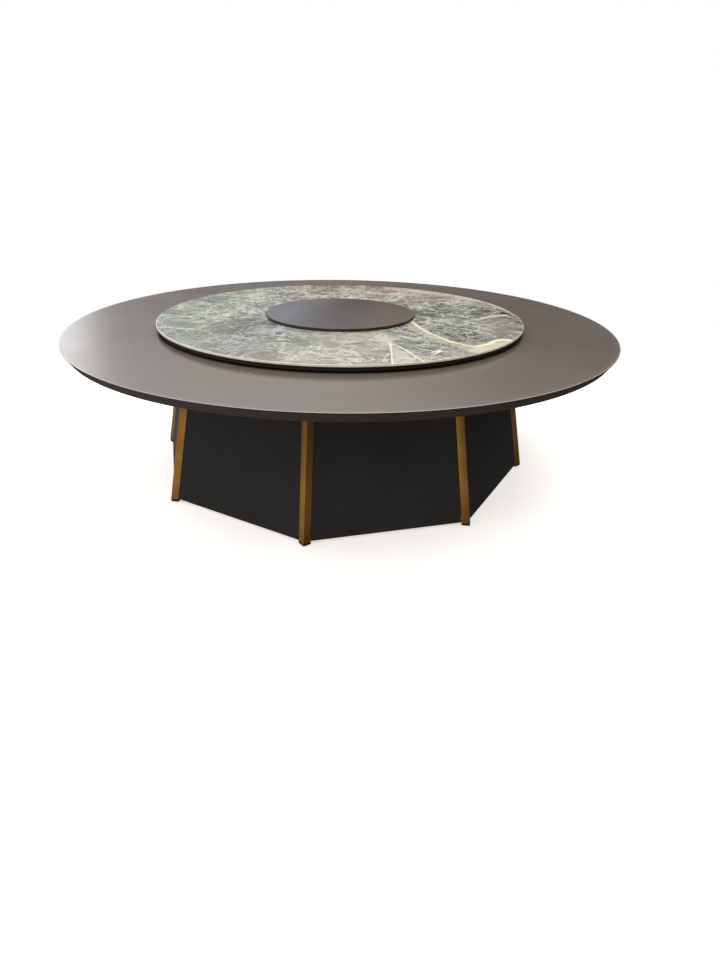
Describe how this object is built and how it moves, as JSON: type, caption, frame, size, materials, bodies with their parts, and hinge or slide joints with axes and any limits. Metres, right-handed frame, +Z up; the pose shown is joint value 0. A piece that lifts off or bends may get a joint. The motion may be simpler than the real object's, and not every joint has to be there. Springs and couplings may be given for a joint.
{
  "type": "round banquet table with turntable",
  "caption": "Round banquet table with an undercut edge, a stone turntable carrying a smaller disc, and a tapering eight-sided panelled pedestal with brass corner posts.",
  "frame": {"origin": "on the floor, on the axis that the turntable turns about, which is the centre of the round top", "axes": "+Z up; one corner post points along -Y and the joints between the leaves of the top run along X and Y"},
  "size_m": [2.8, 2.8, 0.82],
  "materials": {
    "brass_post": "satin, brass-coloured plating on square steel tube",
    "charcoal_panel": "matt charcoal lacquer on board",
    "frame_steel": "matt black powder coat",
    "taupe_lacquer": "satin taupe grey lacquer on board",
    "dark_edging": "satin dark brown lacquer on solid edging",
    "plywood": "plain, unfinished",
    "nylon_dark": "matt",
    "turned_steel": "turned",
    "bearing_plastic": "smooth",
    "zinc_steel": "zinc plated",
    "axle_steel": "ground",
    "cast_aluminium": "as cast",
    "motor_paint": "satin black",
    "box_plastic": "fine texture",
    "bronze_bush": "bearing bronze",
    "gear_steel": "machined, oiled",
    "black_board": "matt black",
    "marble": "polished green grey marble with pale veins",
    "dark_band": "satin dark brown",
    "nylon_white": "smooth nylon"
  },
  "bodies": {
    "table": {"corner_post_1": "brass_post", "corner_post_2": "brass_post", "corner_post_3": "brass_post", "corner_post_4": "brass_post", "corner_post_5": "brass_post", "corner_post_6": "brass_post", "corner_post_7": "brass_post", "corner_post_8": "brass_post", "side_panel_1": "charcoal_panel", "side_panel_2": "charcoal_panel", "side_panel_3": "charcoal_panel", "side_panel_4": "charcoal_panel", "side_panel_5": "charcoal_panel", "side_panel_6": "charcoal_panel", "side_panel_7": "charcoal_panel", "side_panel_8": "charcoal_panel", "support_arm_1": "frame_steel", "support_arm_2": "frame_steel", "support_arm_3": "frame_steel", "support_arm_4": "frame_steel", "support_arm_5": "frame_steel", "support_arm_6": "frame_steel", "support_arm_7": "frame_steel", "support_arm_8": "frame_steel", "top_leaf_1": "taupe_lacquer", "top_leaf_2": "taupe_lacquer", "top_leaf_3": "taupe_lacquer", "top_leaf_4": "taupe_lacquer", "edge_lipping_1": "dark_edging", "edge_lipping_2": "dark_edging", "edge_lipping_3": "dark_edging", "edge_lipping_4": "dark_edging", "top_deck": "plywood", "base_board": "plywood", "foot_glides": "nylon_dark", "cable_gland": "nylon_dark", "spindle": "turned_steel", "thrust_washer": "bearing_plastic", "roller_brackets": "zinc_steel", "leaf_screws": "zinc_steel", "roller_axles": "axle_steel", "gearbox": "cast_aluminium", "motor": "motor_paint", "control_box": "box_plastic"},
    "turntable": {"hub": "turned_steel", "hub_bushes": "bronze_bush", "hub_gear": "gear_steel", "hub_screws": "zinc_steel", "carrier_board": "black_board", "stone_slab": "marble", "centre_disc": "taupe_lacquer", "disc_edge_band": "dark_band"},
    "pinion": {"drive_pinion": "gear_steel", "output_shaft": "axle_steel"},
    "roller_1": {"support_roller_1": "nylon_white"},
    "roller_2": {"support_roller_2": "nylon_white"},
    "roller_3": {"support_roller_3": "nylon_white"},
    "roller_4": {"support_roller_4": "nylon_white"},
    "roller_5": {"support_roller_5": "nylon_white"},
    "roller_6": {"support_roller_6": "nylon_white"}
  },
  "joints": [
    {"name": "turntable_spin", "type": "hinge", "parent": "table", "child": "turntable", "pos_m": [0, 0, 0.75], "axis": [0, 0, 1], "continuous": true},
    {"name": "pinion_spin", "type": "hinge", "parent": "table", "child": "pinion", "pos_m": [-0.04407, 0.10638, 0.728], "axis": [0, 0, 1], "continuous": true},
    {"name": "roller_1_spin", "type": "hinge", "parent": "table", "child": "roller_1", "pos_m": [0.7535, 0.0992, 0.7627], "axis": [0.9914, 0.1305, 0], "continuous": true},
    {"name": "roller_2_spin", "type": "hinge", "parent": "table", "child": "roller_2", "pos_m": [0.29084, 0.70215, 0.7627], "axis": [0.3827, 0.9239, 0], "continuous": true},
    {"name": "roller_3_spin", "type": "hinge", "parent": "table", "child": "roller_3", "pos_m": [-0.46266, 0.60295, 0.7627], "axis": [-0.6088, 0.7934, 0], "continuous": true},
    {"name": "roller_4_spin", "type": "hinge", "parent": "table", "child": "roller_4", "pos_m": [-0.7535, -0.0992, 0.7627], "axis": [-0.9914, -0.1305, 0], "continuous": true},
    {"name": "roller_5_spin", "type": "hinge", "parent": "table", "child": "roller_5", "pos_m": [-0.29084, -0.70215, 0.7627], "axis": [-0.3827, -0.9239, 0], "continuous": true},
    {"name": "roller_6_spin", "type": "hinge", "parent": "table", "child": "roller_6", "pos_m": [0.46266, -0.60295, 0.7627], "axis": [0.6088, -0.7934, 0], "continuous": true}
  ],
  "couplings": [
    {"joint": "pinion_spin", "follows": "turntable_spin", "ratio": -3.6},
    {"joint": "roller_1_spin", "follows": "turntable_spin", "ratio": -50.667},
    {"joint": "roller_2_spin", "follows": "turntable_spin", "ratio": -50.667},
    {"joint": "roller_3_spin", "follows": "turntable_spin", "ratio": -50.667},
    {"joint": "roller_4_spin", "follows": "turntable_spin", "ratio": -50.667},
    {"joint": "roller_5_spin", "follows": "turntable_spin", "ratio": -50.667},
    {"joint": "roller_6_spin", "follows": "turntable_spin", "ratio": -50.667}
  ]
}
